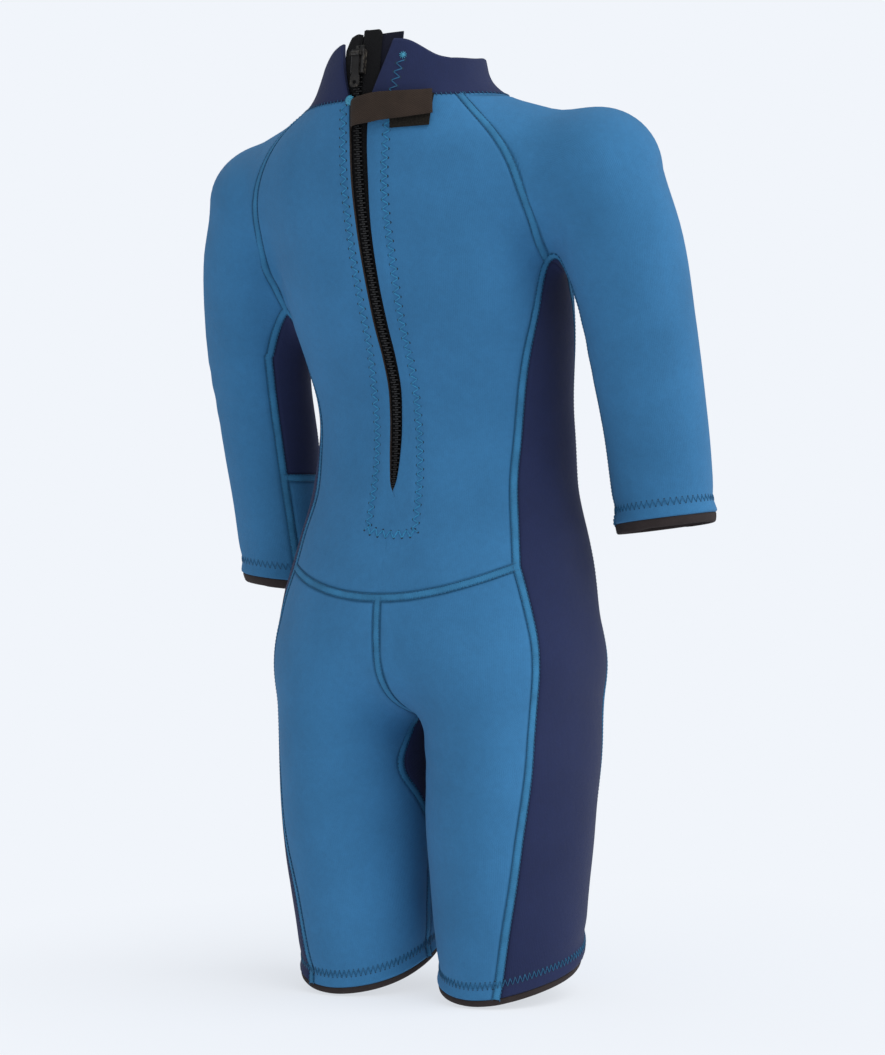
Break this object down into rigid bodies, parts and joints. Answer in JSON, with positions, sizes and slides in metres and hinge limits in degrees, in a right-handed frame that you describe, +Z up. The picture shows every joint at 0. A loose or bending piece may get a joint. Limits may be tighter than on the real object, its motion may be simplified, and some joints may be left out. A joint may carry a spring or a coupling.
{
  "type": "spring wetsuit",
  "caption": "Child's back-zip spring wetsuit with raglan short sleeves, short legs, contrast side panels and a neck closure strap.",
  "frame": {"origin": "on the wearer's centre line, level with the lowest edge of the leg hems", "axes": "+Z up, the wearer faces +Y, +X towards the wearer's right; the zip faces -Y"},
  "size_m": [0.4032, 0.1914, 0.6773],
  "materials": {
    "neoprene_blue": "knit-faced neoprene foam, matt",
    "neoprene_navy": "knit-faced neoprene foam, matt",
    "hem_binding": "turned-in hem lining, matt",
    "zip_tape": "woven tape, matt",
    "zip_plastic": "moulded teeth",
    "slider_metal": "black enamel, worn edges",
    "webbing": "woven webbing, matt",
    "hook_and_loop": "hook and loop pile"
  },
  "bodies": {
    "suit": {"back_panel": "neoprene_blue", "chest_panel": "neoprene_blue", "leg_back_right": "neoprene_blue", "leg_back_left": "neoprene_blue", "leg_front_right": "neoprene_blue", "leg_front_left": "neoprene_blue", "sleeve_right": "neoprene_blue", "sleeve_left": "neoprene_blue", "sleeve_inner_right": "neoprene_blue", "sleeve_inner_left": "neoprene_blue", "crotch_gusset": "neoprene_navy", "side_panel_right": "neoprene_navy", "side_panel_left": "neoprene_navy", "underarm_gusset_right": "neoprene_navy", "underarm_gusset_left": "neoprene_navy", "collar_right": "neoprene_navy", "collar_left": "neoprene_navy", "zip_backing_flap": "neoprene_navy", "sleeve_hem_right": "hem_binding", "sleeve_hem_left": "hem_binding", "leg_hem_right": "hem_binding", "leg_hem_left": "hem_binding", "zip_tape_right": "zip_tape", "zip_tape_left": "zip_tape", "zip_teeth_right": "zip_plastic", "zip_teeth_left": "zip_plastic", "zip_bottom_stop": "zip_plastic", "zip_top_stop_right": "zip_plastic", "zip_top_stop_left": "zip_plastic", "strap_root": "webbing", "loop_patch": "hook_and_loop"},
    "slider": {"zip_slider": "slider_metal"},
    "tab": {"pull_tab": "slider_metal"},
    "strap": {"neck_strap": "webbing", "hook_patch": "hook_and_loop"}
  },
  "joints": [
    {"name": "slider_travel", "type": "hinge", "parent": "suit", "child": "slider", "pos_m": [0, 0.235, 0.61], "axis": [1, 0, 0], "range_deg": [0, 32.5]},
    {"name": "pull_tab_swing", "type": "hinge", "parent": "slider", "child": "tab", "pos_m": [0, -0.10335, 0.66949], "axis": [-1, 0, 0], "range_deg": [0, 150]},
    {"name": "neck_strap_peel", "type": "hinge", "parent": "suit", "child": "strap", "pos_m": [-0.00902, -0.10546, 0.63116], "axis": [0, -0.085, -0.9964], "range_deg": [0, 100]}
  ]
}
